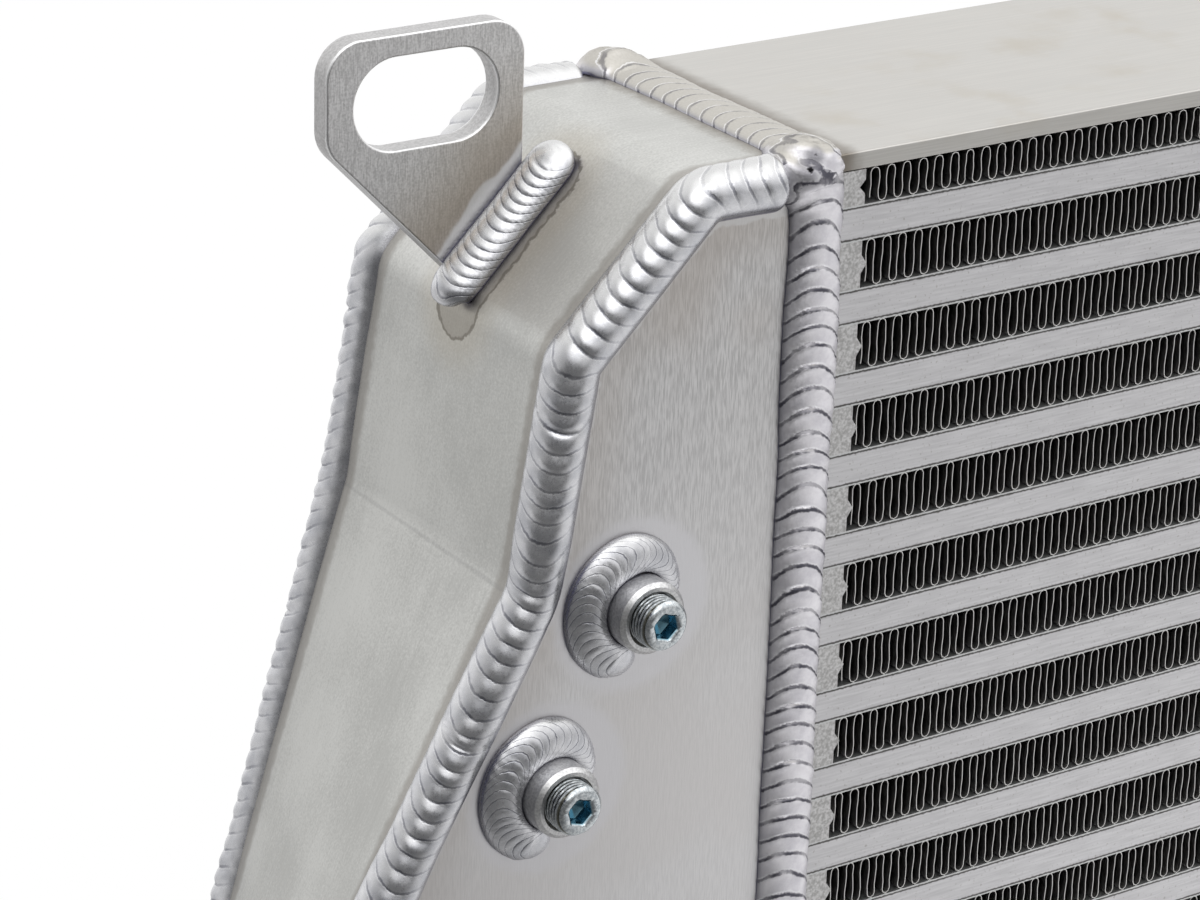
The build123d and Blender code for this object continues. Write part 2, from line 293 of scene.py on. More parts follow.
def outlineDistance(add, where):
    # distance in from the tank's outline: the least of the distances to its edges
    spread = add("Math", [add("SeparateXYZ", [where])], **absolute)
    flat = add("CombineXYZ", [spread, 0.0, add("SeparateXYZ", [where], 2)])
    corners = outlineCorners(-halfDepth)
    found = []
    for start, end in zip(corners, corners[1:-1]):
        edge = unit(end - start)
        normal = (-edge[1], 0.0, -edge[0])    # pointing into the tank, in x outwards and z up
        offset = -(normal[0] * (coreEnd + start[0]) + normal[2] * (coreTop - start[1]))
        found.append(add("Math", [add("VectorMath", [flat, normal], **dotted), offset], **plus))
    top, brow, waist, flare, side = found
    least = add("Math", [waist, flare], operation="MAXIMUM")    # the outline is hollow at the waist
    for other in (top, brow, side):
        least = add("Math", [least, other], operation="MINIMUM")
    return least


def tabDistance(add, where):
    # distance to the middle line of the bead in front of the tab's foot
    corners = outlineCorners(0.0)
    lean = (corners[2] - corners[1]) / (corners[2][0] - corners[1][0])
    inside, beyond = tabWeld["stain"]
    first = corners[1] + lean * ((tabWeld["starts"][0] + inside) * mm - corners[1][0])
    last = corners[1] + lean * ((corners[2][0] - corners[1][0]) + beyond * mm)
    spread = add("Math", [add("SeparateXYZ", [where])], **absolute)
    flat = add("CombineXYZ", [spread, add("SeparateXYZ", [where], 1), add("SeparateXYZ", [where], 2)])
    middle = (tabWeld["front"] - tabWeld["legs"][0] / 2) * mm
    start = np.array([coreEnd + first[0], middle, coreTop - first[1]])
    along = np.array([last[0] - first[0], 0, first[1] - last[1]])
    offset = add("VectorMath", [flat, start.tolist()], **minus)
    share = add("VectorMath", [offset, (along / (along @ along)).tolist()], **dotted)
    foot = add("VectorMath", {0: along.tolist(), 3: add("Clamp", [share])}, operation="SCALE")
    return add("VectorMath", [offset, foot], **apart)


def brushedPlate():
    # rolled sheet brushed upright: short fine streaks, neutral grey, pale etched rims at the welds
    material, add, shader, where = newFinish("brushed_aluminium_plate")
    fine = add("TexNoise", {"Vector": add("VectorMath", [where, perMm(0.28, 3, 3)], **times),
                            "Scale": 1.0, "Detail": 3.0})
    cloud, jagged = (add("TexNoise", {"Vector": where, "Scale": 1 / (size * mm), "Detail": detail})
                     for size, detail in ((40, 2.0), (2.5, 5.0)))
    height = add("SeparateXYZ", [where], 2)
    seam = add("Math", [jagged, 2.4 * mm, outlineDistance(add, where)], **timesPlus)
    layers = [
        ([fine, 0.3, 0.7], "#DEDDDD"),
        ([cloud, 0.45, 0.7, 0, 0.4], "#BCB3AB"),    # stains
        ([height, coreTop - 130 * mm, coreTop - 20 * mm, 0.6, 0], "#EBEAEB"),   # paler low down
        ([seam, 11 * mm, 24 * mm, 0.25, 0], "#B3A89D"),    # heat beside the seams
        ([seam, 10.9 * mm, 11.6 * mm, 0.75, 0], "#D9D8D8"),    # their etched rim
    ]
    for run, drop in sensorPorts["places"]:
        centre = (-(coreEnd + run * mm), -halfDepth, coreTop - drop * mm)
        away = add("Math", [jagged, 2.4 * mm, add("VectorMath", [where, centre], **apart)], **timesPlus)
        layers.append(([away, 17.4 * mm, 20.6 * mm, 0.8, 0], "#E0DFE2"))    # halo round a port
    rough = add("MapRange", [fine, 0.3, 0.7, 0.38, 0.48], **eased)
    surfaced(add, shader, coated(add, "#B6B5B5", layers), rough, fine, 0.014)
    return material


def wrapSheet():
    # folded sheet left as rolled: satin, mottled, with a faint crease at the fold and burnt weld edges
    material, add, shader, where = newFinish("satin_aluminium_sheet")
    cloud, speck, jagged = (add("TexNoise", {"Vector": where, "Scale": 1 / (size * mm), "Detail": detail})
                            for size, detail in ((30, 4.0), (0.5, 2.0), (2, 5.0)))
    streak = add("TexNoise", {"Vector": add("VectorMath", [where, perMm(14, 0.6, 14)], **times),
                              "Scale": 1.0, "Detail": 2.0})
    seam = add("Math", [add("SeparateXYZ", [where], 1)], **absolute)
    beside = add("Math", [add("SeparateXYZ", [where])], **absolute)
    fold = add("Math", [add("SeparateXYZ", [where], 2), coreTop - 76.5 * mm], **minus)
    near = add("Math", [jagged, 2.6 * mm, tabDistance(add, where)], **timesPlus)
    line = add("Math", [near, 8.2 * mm], **minus)
    base = coated(add, "#BABAB7", [
        ([add("Math", [cloud, 1.5, speck], **timesPlus), 0.9, 1.6], "#CFCFCC"),
        ([add("Math", [jagged, 2.2 * mm, seam], **timesPlus), 27.4 * mm, 29.4 * mm, 0, 0.6], "#928D87"),
        ([add("Math", [jagged, 3 * mm, beside], **timesPlus), coreEnd + 9.5 * mm, coreEnd + 14 * mm, 0.7, 0],
         "#857E74"),    # burnt beside the core
        ([add("Math", [fold], **absolute), 0.1 * mm, 0.6 * mm, 0.2, 0], "#7F7F80"),
        ([near, 8 * mm, 18 * mm, 0.35, 0], "#B5AB98"),    # heat round the tab's bead
        ([near, 8.2 * mm, 8.8 * mm, 0.45, 0], "#89837A"),    # its stain
        ([add("Math", [line], **absolute), 0.15 * mm, 0.6 * mm, 0.5, 0], "#5D574C"),
    ])
    rough = add("MapRange", [streak, 0.3, 0.7, 0.38, 0.5], **eased)
    surfaced(add, shader, base, rough, add("Math", [speck, streak], **plus), 0.01)
    return material


def millPlate():
    # mill-finish plate with long grain along the core and heat stains next to the weld
    material, add, shader, where = newFinish("mill_aluminium_plate")
    fine = add("TexNoise", {"Vector": add("VectorMath", [where, perMm(18, 0.35, 0.35)], **times),
                            "Scale": 1.0, "Detail": 2.0})
    stain, jagged = (add("TexNoise", {"Vector": where, "Scale": 1 / (size * mm), "Detail": detail})
                     for size, detail in ((20, 5.0), (3, 4.0)))
    spread = add("Math", [add("SeparateXYZ", [where])], **absolute)
    seam = add("Math", [jagged, 3 * mm, spread], **timesPlus)
    base = coated(add, "#B7B5B1", [
        ([fine, 0.3, 0.7], "#C4C2BE"),
        ([stain, 0.52, 0.75, 0, 0.4], "#ACA28F"),
        ([seam, coreEnd - 9 * mm, coreEnd - 3 * mm, 0, 0.8], "#6F665B"),
    ])
    rough = add("MapRange", [fine, 0.3, 0.7, 0.34, 0.46], **eased)
    surfaced(add, shader, base, rough, fine, 0.01)
    return material


def brazedBars():
    # smooth bars with flux speckle; along each joint a ragged dark band, the joint's own line with painted
    # shade of the bar's edge, and a bright line, the sheet's edge with a painted highlight
    material, add, shader, where = newFinish("brazed_aluminium_bar")
    fine = add("TexNoise", {"Vector": add("VectorMath", [where, perMm(9, 0.5, 0.5)], **times),
                            "Scale": 1.0, "Detail": 3.0})
    speck = add("TexNoise", {"Vector": where, "Scale": 1 / (0.7 * mm), "Detail": 4.0})
    first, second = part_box("charge_tube_01"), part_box("charge_tube_02")
    pitch, half = second[0].z - first[0].z, (first[1].z - first[0].z) / 2
    level = add("Math", [add("SeparateXYZ", [where], 2), first[0].z], **minus)
    level = add("Math", [level, pitch], operation="FLOORED_MODULO")
    middle = add("Math", [add("Math", [level, half], **minus)], **absolute)
    middle = add("Math", [speck, 0.5 * mm, middle], **timesPlus)
    base = coated(add, "#C7C6C8", [
        ([fine, 0.25, 0.75], "#D8D7D9"),
        ([speck, 0.6, 0.7, 0, 0.5], "#97928C"),    # flux
        ([middle, half - 0.6 * mm, half - 0.3 * mm, 0, 0.9], "#3F3C39"),    # the joint's dark line, with painted shade of the bar's edge
        ([middle, half - 0.16 * mm, half + 0.02 * mm, 0, 1], "#CFD0D0"),    # sheet edge, with a painted highlight
    ])
    surfaced(add, shader, base, 0.44, add("Math", [fine, speck], **plus), 0.012)
    return material


speckledLooks = {    # roughness, grain in mm, its detail and contrast, two colours, depth in mm
    "end_bar_aluminium": (0.46, 0.6, 4.0, (0.3, 0.7), "#ABAAA9", "#D6D5D5", 0.03),    # sawn
    "turned_aluminium": (0.36, 0.5, 3.0, (0.35, 0.65), "#C2C2C3", "#DDDDDD", 0.02),    # lightly blasted
    "zinc_plated_steel": (0.22, 0.5, 3.0, (0.35, 0.65), "#AEB4B8", "#D5D9DB", 0.006),
}


def speckled(name):
    # metal with a fine pitted speckle between two colours
    roughness, grain, detail, contrast, dark, light, depth = speckledLooks[name]
    material, add, shader, where = newFinish(name)
    speck = add("TexNoise", {"Vector": where, "Scale": 1 / (grain * mm), "Detail": detail})
    base = coated(add, dark, [([speck, *contrast], light)])
    surfaced(add, shader, base, roughness, speck, depth)
    return material, add, shader, base


def finFoil():
    # thin rolled foil: its own bright colour near the front edges, and painted shade that darkens it towards
    # the inside of the channels
    material, add, shader, where = newFinish("fin_foil")
    depth = add("Math", [add("SeparateXYZ", [where], 1)], **absolute)
    streak = add("TexNoise", {"Vector": add("VectorMath", [where, perMm(0.6, 6, 0.6)], **times),
                              "Scale": 1.0, "Detail": 2.0})
    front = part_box("air_fin_01")[1].y - airFin["setBack"] * mm
    # painted shade: near black with faint streaks inside the channels; the foil's own pale colour within a
    # few mm of the front edge
    base = coated(add, "#1D2126", [([streak, 0.35, 0.7], "#565C63"),
                                   ([depth, front - 2.6 * mm, front - 0.25 * mm], "#E2E0DE")])
    connect(shader, {"Base Color": base, "Roughness": 0.35})
    return material


def weldBead(name, look):
    # cast skin of a TIG bead: bright pads, thin creases from the ripple's phase, each a dent with painted
    # shade in it and a painted highlight on the ridge beside it, painted shade on the flanks near the toes,
    # near-black painted shade in the pores, sandy grit, a bluish line where it meets the sheet; faces that
    # look up have their own colours
    material, add, shader, where = newFinish(name)
    toe, phase, shown = (add("Attribute", output="Fac", attribute_name=key)
                         for key in ("toe", "phase", "line"))
    speck, cloud = (add("TexNoise", {"Vector": where, "Scale": 1 / (size * mm), "Detail": detail})
                    for size, detail in ((0.45, 3.0), (4, 4.0)))
    upward = add("SeparateXYZ", [add("NewGeometry", output="Normal")], 2)
    upward = add("MapRange", [upward, 0.4, 0.8], **eased)
    jitter = add("Math", [add("Math", [speck, 0.5], **minus), 0.12, phase], **timesPlus)
    jitter = add("Math", [cloud, 0.35, jitter], **timesPlus)
    lines = []
    for shift in (0, 1.15):    # the crease with its painted shade, and the painted highlight on the ridge above it
        away = add("Math", [jitter, 0.325 - look["creaseAt"] - shift * look["creaseWide"]], **plus)
        away = add("Math", [add("Math", [away], **fraction), 0.5], **minus)
        lines.append(add("Math", [away], **absolute))
    creaseDentAndShade = add("MapRange", [lines[0], 0.3 * look["creaseWide"], look["creaseWide"], 1, 0], **eased)
    varied = add("MapRange", [cloud, 0.35, 0.6, 0.5, 1.0], **eased)
    varied = add("Math", [varied, add("MapRange", [upward, 0, 1, 1, 0.6])], **times)
    creaseDentAndShade = add("Math", [add("Math", [creaseDentAndShade, varied], **times), shown], **times)
    edge = add("MapRange", [lines[1], 0.01, 0.05, 0.6, 0], **eased)
    ragged = add("Math", [add("Math", [cloud, 0.5], **minus), 0.05, toe], **timesPlus)
    rim = add("MapRange", [ragged, 0.93, 0.98, 0, 0.85], **eased)
    wide = add("MapRange", [ragged, 0.78, 0.96, 0, 0.6], **eased)
    rim = add("Math", [rim, add("Math", [wide, upward], **times)], operation="MAXIMUM")
    layers = [
        ([cloud, 0.3, 0.75], look["dull"]),
        (upward, look["above"]),
        # painted shade on the flanks towards the toes
        ([toe, 0.6, 0.95, 0, 0.7], look["flank"]),
        # painted shade in each crease, weaker on faces that look up
        (add("Math", [creaseDentAndShade, look["creaseShadeAmount"]], **times), look["creaseDentAndShade"]),
        # painted highlight on the ridge beside each crease
        (add("Math", [edge, shown], **times), "#F0F0F2"),
        (rim, add("Mix", {0: upward, 6: "#6E6E88", 7: look["aboveToe"]}, **tint)),
    ]
    heights = add("Math", [speck, look["grit"]], **times)
    heights = add("Math", [creaseDentAndShade, -look["creaseDeep"], heights], **timesPlus)
    for place, radius in look["pores"]:
        away = add("Math", [speck, radius, add("VectorMath", [where, place], **apart)], **timesPlus)
        soot = add("Math", [cloud, 5 * radius, away], **timesPlus)
        hole = add("MapRange", [away, 0.9 * radius, 1.5 * radius, 1, 0], **eased)
        # the soot ring is a stain; the near black at each pore's centre is painted shade in its hole
        layers += [([soot, 4.5 * radius, 8 * radius, 0.6, 0], "#6B6A72"), (hole, "#17171A")]
        heights = add("Math", [hole, -0.3, heights], **timesPlus)
    rough = add("MapRange", [speck, 0.3, 0.7, 0.85 * look["roughness"], 1.2 * look["roughness"]], **eased)
    surfaced(add, shader, coated(add, look["pale"], layers), rough, heights, 1)
    return material


def cutPlate():
    # plate cut from thick stock: finely brushed faces, matte cut edges, a painted highlight on the broken
    # edges, brown heat near the weld
    material, add, shader, where = newFinish("cut_aluminium_plate")
    fine = add("TexNoise", {"Vector": add("VectorMath", [where, perMm(0.25, 2, 2)], **times),
                            "Scale": 1.0, "Detail": 3.0})
    speck, cloud = (add("TexNoise", {"Vector": where, "Scale": 1 / (size * mm), "Detail": detail})
                    for size, detail in ((0.5, 4.0), (14, 2.0)))
    tone = add("Math", [fine, speck], **plus)
    near = add("Math", [cloud, 8 * mm, tabDistance(add, where)], **timesPlus)
    face = coated(add, "#BEBDBD", [
        ([tone, 0.7, 1.3], "#E4E3E3"),
        ([near, 12 * mm, 32 * mm, 0.6, 0], "#A39482"),
        ([near, 12.4 * mm, 13.4 * mm, 0.85, 0], "#E0E0E1"),    # etched beside the weld
    ])
    across = add("Math", [add("SeparateXYZ", [add("NewGeometry", output="Normal")], 1)], **absolute)
    flat = add("MapRange", [across, 0.75, 0.95], **eased)
    # the near white on the broken edges, where the normal turns between the cut edge and the face, is a
    # painted highlight
    base = coated(add, "#AFAEAE", [([speck, 0.3, 0.7], "#C6C5C5"), ([across, 0.15, 0.4], "#F4F4F4"),
                                   (flat, face)])
    rough = add("MapRange", [flat, 0, 1, 0.46, 0.38])
    surfaced(add, shader, base, rough, tone, 0.012)
    return material


def zincSteel():
    # zinc-plated steel: bright; painted shade darkens the thread grooves to a bronze grey, and greenish blue
    # walls in the socket
    material, add, shader, base = speckled("zinc_plated_steel")
    deep, sunk = (add("Attribute", output="Fac", attribute_name=key) for key in ("socket", "sunk"))
    # painted shade: the thread grooves turn bronze grey by how deep they are cut
    base = coated(add, base, [([sunk, 0.1, 0.4, 0, 0.85], "#5E5A4A"), (deep, "#6F98A8")])
    connect(shader, {"Base Color": base})
    return material


# Weld beads

brightLook = {
    "pale": "#D9D9DC", "dull": "#BFC0C5", "above": "#CFCFCF", "aboveToe": "#7F7D7C", "roughness": 0.3,
    "creaseAt": 0.0,    # where in a ripple the crease and its painted shade lie, and its half width
    "creaseWide": 0.11, "creaseDentAndShade": "#74757F", "creaseShadeAmount": 0.8,
    "creaseDeep": 0.03,    # in mm, like the grit
    "grit": 0.01, "flank": "#82828C", "pores": [],
}
matteLook = {
    "pale": "#F2F0F4", "dull": "#DAD8DE", "above": "#BEBBB5", "aboveToe": "#4A463F", "roughness": 0.46,
    "creaseAt": 0.9, "creaseWide": 0.13, "creaseDentAndShade": "#4E4D58", "creaseShadeAmount": 0.95,
    "creaseDeep": 0.05, "grit": 0.03, "flank": "#9A9AA2",
    "pores": [((-(coreEnd + 6.0 * mm), -(halfDepth + 3.7 * mm), coreTop - 0.4 * mm), 0.8 * mm),
              ((-(coreEnd + 4.0 * mm), -(halfDepth + 2.2 * mm), coreTop + 1.9 * mm), 0.5 * mm)],
}

cornerBead = {
    "size": (5.4, 5.4, 5.4),    # half width, height above and below the path, in mm
    "inset": 3.3,    # its centre, in from the strip's outer surface
    "behind": 0.6,    # and behind the plate's outer surface
    "turns": [-1, -1, 1, -1, -1],   # which folds bend inwards (-1) and which outwards
    "start": 9.6,    # run of its end at the core's bead
    "toes": (129, 97),    # angles from the crown to the plate and to the strip, in degrees
    "stops": [69, 134],    # distances at which the welder paused
    "stopDent": (0.6, 0.6),    # depth and half length of the dent there
    "ripple": {"pitch": 3.65 * mm, "height": 0.33 * mm, "lag": 6.0 * mm, "tilt": 0.8 * mm, "jitter": 0.16,
               "uneven": 0.4, "skew": 1.5, "power": 0.8, "swell": 0.035, "round": 26, "ending": 3 * mm,
               "spread": -0.3},
    "perRipple": 10,
}
coreBead = {
    "half": 6.3, "crown": 3.2, "topCrown": 1.7, "under": 1.0,
    "middle": 1.6,    # out from the core's end
    "turn": 3.5,    # radius of its path round the core's corners
    "sink": 0.15,    # how far the path lies inside the core's outline
    "flatten": (4, 5),    # where it turns flat on top, in from the corner, and over what length
    "knob": (5, 2.1, 1.5, 1.6),    # length of the knob at a corner, and how far out, wide and high it goes
    "lump": (0.5, 4.5),    # height and length of the lumps on it
    "calm": (0.6, 0.3),    # how much weaker the ripples are on top, and on the knob
    "toes": (88, 88),
    "ripple": {"pitch": 4.2 * mm, "height": 0.5 * mm, "lag": 7 * mm, "tilt": 1.5 * mm, "jitter": 0.22,
               "uneven": 0.4, "skew": 4.0, "power": 0.9, "swell": 0.05, "round": 28, "ending": 4 * mm},
    "perRipple": 13,
}
tabWeld = {
    "legs": (8.0, 5.0),    # reach over the brow and up the tab
    "bulge": 2.7,    # crown above the line between its toes
    "under": 2.5,    # depth below that line
    "fold": 3,    # radius of its path round the brow's fold
    "starts": (34.8, 40),    # runs at which the front and rear beads begin
    "stain": (3.4, 0.6),    # where its heat stain begins past the start, and ends past the fold
    "tails": (2.2, -11),    # how far they pass the brow's fold
    "front": 5.0,    # Y of the tab's front and rear faces
    "rear": 10.0,
    "toes": (84, 84),
    "ripple": {"pitch": 2.2 * mm, "height": 0.2 * mm, "lag": 7.0 * mm, "jitter": 0.16, "uneven": 0.4,
               "blob": 5.5 * mm, "crater": (4.6 * mm, 2.6 * mm, 0.16 * mm, 0.35 * mm), "skew": 1.7,
               "power": 0.9, "swell": 0.04, "round": 30, "ending": 5.0 * mm},
    "perRipple": 11,
}
sensorPorts = {
    "places": [(40.8, 83.3), (59.0, 117.8)],    # run and drop of each bung
    "bore": 5.15, "rim": 7.35,    # inner and outer radius of a bung
    "plugTop": 12.2, "plugFoot": 1.0, "plugChamfer": 0.85, "hexAcross": 4.76, "hexDepth": 3.2,
    "thread": 0.94, "threadDepth": 0.5,
    "beadStart": -88, "beadTurn": 272,    # degrees, clockwise from the right as seen from the front
    "beadReach": (15.4, 11.0),    # outer toe radius, at the left and at its end
    "bulge": 1.8, "climb": 0.34,    # crown height, and rise up the bung against reach on the plate
    "toes": (86, 86),
    "ripple": {"pitch": 1.75 * mm, "height": 0.11 * mm, "lag": 9.0 * mm, "jitter": 0.2, "uneven": 0.6,
               "blob": 5 * mm, "skew": 1.8, "power": 0.9, "swell": 0.04, "round": 26, "ending": 3.6 * mm},
    "perRipple": 9,
}
neckWeld = {
    "centreHeight": 48.0, "radius": 28.0, "size": (3.2, 3.2, 2.0),
    "proud": 0.4,    # its centre stands this far out from the edge it closes
    "ripple": {"pitch": 3.2 * mm, "height": 0.2 * mm, "lag": 2.2 * mm, "jitter": 0.0, "uneven": 0.3,
               "skew": 1.7, "power": 0.8, "swell": 0.04, "round": 16},
    "perRipple": 9,
}


def addCornerBeads(material):
    for side, sideName in sides:
        for face, faceName in faces:
            y = face * (halfDepth - cornerBead["behind"] * mm)
            inset = cornerBead["inset"]
            corners = outlineCorners(y, inset * mm)
            corners[0, 0] = corners[-1, 0] = cornerBead["start"] * mm
            radii = np.array(tank["folds"]) + np.array(cornerBead["turns"]) * inset
            radii = np.maximum(radii, 1.05 * cornerBead["size"][0]) * mm
            step = cornerBead["ripple"]["pitch"] / cornerBead["perRipple"]
            path = inPlace(side, y, roundedLine(corners, radii, step))
            tangent = unit(np.gradient(path, axis=0))
            outward = side * np.cross(towardsView, tangent)
            crown = unit(outward + np.array([0, face, 0]))
            toes = cornerBead["toes"][::side * -face]
            deep, wide = cornerBead["stopDent"]
            stops = [(at * mm, deep * mm, wide * mm) for at in cornerBead["stops"]]
            points, values = beadPoints(path, crown, np.array(cornerBead["size"]) * mm,
                                        cornerBead["ripple"], 11 + 4 * side + face, toes=toes, stops=stops)
            points[..., 2] = np.maximum(points[..., 2], 0)    # dressed flush underneath
            piece = gridPiece(f"{sideName}_{faceName}_bead", points, material, values=values)
            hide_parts(f"{sideName}_{faceName}_seam_weld")


def addCoreBeads(material):
    for side, sideName in sides:
        sink = coreBead["sink"] * mm
        loop = np.array([(-halfDepth + sink, 0), (-halfDepth + sink, coreTop - sink),
                         (halfDepth - sink, coreTop - sink), (halfDepth - sink, 0)])
        step = coreBead["ripple"]["pitch"] / coreBead["perRipple"]
        line = roundedLine(loop, [coreBead["turn"] * mm] * 2, step)
        inside, over = coreBead["flatten"]
        onTop = np.clip((halfDepth - inside * mm - np.abs(line[:, 0])) / (over * mm), 0, 1)
        high = (coreBead["crown"] + (coreBead["topCrown"] - coreBead["crown"]) * onTop) * mm
        lump = np.array(coreBead["lump"]) * mm
        calmer, calmest = coreBead["calm"]
        short = (2 - math.pi / 2) * coreBead["turn"] * mm    # a rounded corner's saving in length
        places = (coreTop - short / 2, coreTop + 2 * halfDepth - 1.5 * short)    # the upper corners
        length, outwards, wider, higher = coreBead["knob"]
        at = np.arange(len(line)) * step
        knob = sum(np.exp(-((at - place) / (length * mm)) ** 2) for place in places)
        out = coreEnd + (coreBead["middle"] + outwards * knob) * mm
        path = np.stack([side * out, line[:, 0], line[:, 1]], 1)
        crown = np.cross(alongCore, unit(np.gradient(path, axis=0)))
        size = ((coreBead["half"] + wider * knob) * mm, high + higher * mm * knob, coreBead["under"] * mm)
        points, values = beadPoints(path, crown, size, coreBead["ripple"], 31 + side, toes=coreBead["toes"],
                                    calm=(1 - calmer * onTop - calmest * knob)[:, None],
                                    lumps=[(place, *lump) for place in places])
        points[..., 2] = np.maximum(points[..., 2], 0)
        piece = gridPiece(f"{sideName}_core_bead", points, material, values=values)
        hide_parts(f"{sideName}_core_seam_weld")


def addTabBeads(material):
    across, up = np.array(tabWeld["legs"]) * mm
    for side, sideName in sides:
        halves = []
        for passes, (face, faceName) in enumerate(faces):
            tabFace = tabWeld[faceName]
            y = tabFace * mm + face * across / 2
            corners = outlineCorners(y, -up / 2)
            shoulder, brow, waist = corners[1:4]
            lean = (brow - shoulder) / (brow[0] - shoulder[0])
            start = brow + lean * (tabWeld["starts"][passes] * mm - brow[0])
            beyond = tabWeld["tails"][passes] * mm
            tail = brow + beyond * unit(waist - brow if beyond > 0 else brow - start)
            knots = np.stack([start, brow, tail] if beyond > 0 else [start, tail])
            step = tabWeld["ripple"]["pitch"] / tabWeld["perRipple"]
            line = roundedLine(knots, [tabWeld["fold"] * mm], step)
            path = inPlace(side, y, line)
            tangent = unit(np.gradient(path, axis=0))
            outward = side * np.cross(towardsView, tangent)
            crown = unit(across * outward + up * np.array([0, face, 0]))
            size = (math.hypot(across, up) / 2, tabWeld["bulge"] * mm, tabWeld["under"] * mm)
            points, values = beadPoints(path, crown, size, tabWeld["ripple"], 51 + 4 * side + face,
                                        toes=tabWeld["toes"])
            halves.append(gridPiece(f"{sideName}_{faceName}_tab_bead", points, material,
                                    values=values))
        piece = joinPieces(f"{sideName}_tab_beads", halves)
        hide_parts(f"{sideName}_tab_welds")


def addPortBeads(material):
    # each bead starts under the bung and runs clockwise round it, narrowing to its end at the right
    beads = []
    ports = sensorPorts
    for number, (run, drop) in enumerate(ports["places"]):
        centre = np.array([-(coreEnd + run * mm), -halfDepth, coreTop - drop * mm])
        wide, narrow = ports["beadReach"]
        length = math.radians(ports["beadTurn"]) * (wide + ports["rim"]) / 2 * mm
        count = round(length / ports["ripple"]["pitch"] * ports["perRipple"])
        p = np.linspace(0, 1, count)
        turn = np.radians(ports["beadStart"] - ports["beadTurn"] * p)[:, None]
        late, early = np.clip((p - 0.6) / 0.4, 0, 1), np.clip(1 - p / 0.12, 0, 1)
        outer = wide - (wide - narrow) * late * late * (3 - 2 * late) - 2.0 * early
        outward = np.cos(turn) * alongCore + np.sin(turn) * upright
        leg = (outer - ports["rim"]) * mm
        climb = ports["climb"] * leg
        path = centre + (ports["rim"] * mm + leg / 2)[:, None] * outward + (climb / 2)[:, None] * towardsView
        crown = unit(climb[:, None] * outward + leg[:, None] * towardsView)
        size = (np.hypot(leg, climb) / 2, ports["bulge"] * mm * leg / leg.max(), 1.2 * mm)
        points, values = beadPoints(path, crown, size, ports["ripple"], 71 + number, toes=ports["toes"])
        beads.append(gridPiece(f"port_bead_{number}", points, material, values=values))
    piece = joinPieces("left_port_beads", beads)
    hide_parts("left_port_welds")


def addNeckBeads(material):
    front, rear = tank["flareRuns"]
    for side, sideName in sides:
        axis = unit(np.array([side, (front - rear) * mm / (2 * halfDepth), 0.0]))
        centre = np.array([side * (coreEnd + (front + rear) / 2 * mm), 0, neckWeld["centreHeight"] * mm])
        radius, proud = neckWeld["radius"] * mm, neckWeld["proud"] * mm
        length = 2 * math.pi * radius
        ripple = dict(neckWeld["ripple"])
        ripple["pitch"] = length / round(length / ripple["pitch"])    # a whole number of ripples
        count = round(2 * math.pi * (radius + proud) / ripple["pitch"] * neckWeld["perRipple"])
        turn = np.linspace(0, 2 * np.pi, count, endpoint=False)[:, None]
        outward = np.cos(turn) * upright + np.sin(turn) * np.cross(axis, upright)
        path = centre + proud * axis + (radius + proud) * outward
        crown = unit(outward + axis)
        points, values = beadPoints(path, crown, np.array(neckWeld["size"]) * mm, ripple, 91 + side,
                                    looped=True)
        piece = gridPiece(f"{sideName}_neck_bead", points, material, looped=True, values=values)
        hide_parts(f"{sideName}_neck_weld")


# Fins and plugs

airFin = {
    "legPitch": 1.93,    # real spacing of the legs in mm
    "gauge": 0.16,    # foil thickness, drawn a little thick so that its edge shows
    "setBack": -0.5,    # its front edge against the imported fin's
    "wave": 0.16,    # how far a leg bends off straight
    "uneven": 0.14,    # how far whole legs stand off their places
}


def addFins(material):
    # The foil's profile runs up and down: straight legs at whole pitches, joined by half circles whose
    # radius is half a pitch. Each leg bends by wave * sin(2 pi z / height + its own phase).
    pitch, gauge = airFin["legPitch"] * mm, airFin["gauge"] * mm
    for number in range(1, 17):
        node = f"air_fin_{number:02d}"
        low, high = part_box(node)
        rng = np.random.default_rng(200 + number)
        legs = int((high.x - low.x - gauge) / pitch)
        inner = (high.z - low.z) / 2 - pitch / 2 - gauge / 2
        places = np.arange(legs)[:, None] * pitch + rng.normal(0, airFin["uneven"] * mm, (legs, 1)) * 0.5
        sense = np.where(np.arange(legs) % 2, -1, 1)[:, None]
        rise = np.linspace(-1, 1, 5)[None, :]
        bend = airFin["wave"] * mm * np.sin(2.6 * rise * sense + rng.uniform(0, 6.3, (legs, 1)))
        legX, legZ = places + bend * (1 - rise ** 4), inner * rise * sense
        turn = np.array([0.25, 0.5, 0.75])[None, :] * np.pi
        following = np.append(places[1:], places[-1:] + pitch, 0)
        gap = (following - places) / 2
        arcX = places + gap * (1 - np.cos(turn))
        arcZ = sense * (inner + (pitch / 2) * np.sin(turn))
        x = np.hstack([legX, arcX]).ravel() + low.x + gauge / 2
        z = np.hstack([legZ, arcZ]).ravel() + (low.z + high.z) / 2
        line = np.stack([x, z], 1)
        tangent = unit(np.gradient(line, axis=0))
        normal = np.stack([-tangent[:, 1], tangent[:, 0]], 1) * gauge / 2
        outer, under = line + normal, line - normal
        near, far = low.y + airFin["setBack"] * mm, high.y - airFin["setBack"] * mm
        corners = [(outer, near), (outer, far), (under, far), (under, near)]
        points = np.stack([np.stack([c[:, 0], np.full(len(c), y), c[:, 1]], 1) for c, y in corners], 1)
        points[..., 2] = np.clip(points[..., 2], low.z, high.z)
        piece = gridPiece(f"fin_row_{number:02d}", points, material, smooth=False)
        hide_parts(node)


